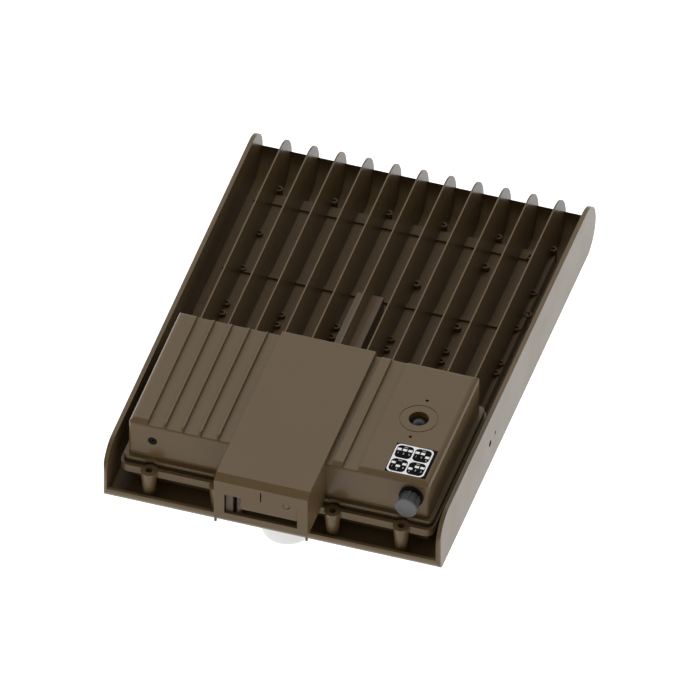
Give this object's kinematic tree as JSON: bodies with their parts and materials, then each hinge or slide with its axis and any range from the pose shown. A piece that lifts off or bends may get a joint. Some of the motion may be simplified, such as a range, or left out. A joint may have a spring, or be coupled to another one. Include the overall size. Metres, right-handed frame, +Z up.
{
  "type": "led flood light",
  "caption": "Flat area flood light: finned die-cast shell, driver housing with fluted cover, arm bracket with screw clamp, photocell position, switch under a screw cap and a twist-off sensor.",
  "frame": {"origin": "centre of the arm window's mouth, in the end face of the arm bracket", "axes": "+Y from the arm end along the light to the fin tips, +Z up through the driver cover, light modules facing -Z, +X to the side with the photocell position"},
  "size_m": [0.305, 0.47, 0.117],
  "materials": {
    "bronze_shell": "satin bronze powder coat on a die casting",
    "bronze_cover": "satin bronze powder coat on a die casting",
    "bare_casting": "as cast",
    "screw_steel": "zinc plated",
    "dark_steel": "dark plated thread",
    "black_rubber": "semi-gloss",
    "white_rubber": "matte",
    "black_plastic": "matte",
    "grey_plastic": "matte",
    "white_plastic": "satin",
    "red_plastic": "matte",
    "blue_plastic": "matte",
    "cream_plastic": "matte",
    "lead_cover": "satin",
    "label_film": "satin, printed black and white",
    "clear_lens": "clear",
    "board_white": "matte, light emitters on it",
    "board_green": "satin",
    "driver_case": "satin"
  },
  "bodies": {
    "housing": {"heat_sink": "bronze_shell", "driver_tray": "bronze_cover", "tray_screws": "screw_steel", "cover_seal": "black_rubber", "driver_cover": "bronze_cover", "arm_bracket": "bronze_cover", "bracket_screws": "screw_steel", "guide_post": "bare_casting", "arm_set_screw": "bronze_cover", "vent_plug": "black_plastic", "switch_collar": "black_plastic", "switch_block": "red_plastic", "settings_label": "label_film", "lens_frame": "bronze_shell", "lens_gasket": "white_rubber", "frame_screws": "screw_steel", "lens_1": "clear_lens", "lens_2": "clear_lens", "lens_3": "clear_lens", "lens_4": "clear_lens", "lens_5": "clear_lens", "lens_6": "clear_lens", "led_board_1": "board_white", "led_board_2": "board_white", "led_board_3": "board_white", "led_board_4": "board_white", "led_board_5": "board_white", "led_board_6": "board_white", "led_driver_1": "driver_case", "led_driver_2": "driver_case", "driver_screws": "screw_steel", "surge_protector": "blue_plastic", "terminal_block": "cream_plastic", "supply_leads": "lead_cover", "lead_grommet": "black_rubber", "sensor_base": "white_plastic", "sensor_seal": "black_rubber", "sensor_nut": "white_plastic"},
    "cap_ring": {"cap_seal": "black_rubber"},
    "cap": {"switch_cap": "grey_plastic"},
    "cell_plug": {"photocell_plug": "black_rubber"},
    "sensor": {"sensor_head": "white_plastic", "sensor_board": "board_green"},
    "lever_1": {"switch_lever_1": "white_plastic"},
    "lever_2": {"switch_lever_2": "white_plastic"},
    "lever_3": {"switch_lever_3": "white_plastic"},
    "jaw": {"clamp_jaw": "bronze_cover"},
    "bolt": {"clamp_bolt": "dark_steel"}
  },
  "joints": [
    {"name": "cap_slide", "type": "slide", "parent": "housing", "child": "cap_ring", "axis": [0, -1, 0], "range_m": [0, 0.008]},
    {"name": "cap_turn", "type": "hinge", "parent": "cap_ring", "child": "cap", "pos_m": [0.1203, 0.0424, 0.0077], "axis": [0, -1, 0], "range_deg": [0, 1440]},
    {"name": "plug_pull", "type": "slide", "parent": "housing", "child": "cell_plug", "axis": [0, 0, 1], "range_m": [0, 0.014]},
    {"name": "sensor_twist", "type": "hinge", "parent": "housing", "child": "sensor", "pos_m": [0, 0.0765, -0.0551], "axis": [0, 0, 1], "range_deg": [0, 45]},
    {"name": "lever_1_slide", "type": "slide", "parent": "housing", "child": "lever_1", "axis": [0, 0, -1], "range_m": [0, 0.0018]},
    {"name": "lever_2_slide", "type": "slide", "parent": "housing", "child": "lever_2", "axis": [0, 0, -1], "range_m": [0, 0.0018]},
    {"name": "lever_3_slide", "type": "slide", "parent": "housing", "child": "lever_3", "axis": [0, 0, -1], "range_m": [0, 0.0018]},
    {"name": "clamp_turn", "type": "hinge", "parent": "housing", "child": "bolt", "pos_m": [-0.0215, 0.0075, 0], "axis": [0, 0, 1], "range_deg": [0, 1440]},
    {"name": "jaw_slide", "type": "slide", "parent": "housing", "child": "jaw", "axis": [0, 0, -1], "range_m": [0, 0.004]}
  ],
  "couplings": [
    {"joint": "cap_turn", "follows": "cap_slide", "rad_per_m": 3141.6},
    {"joint": "clamp_turn", "follows": "jaw_slide", "rad_per_m": 6283.2}
  ]
}
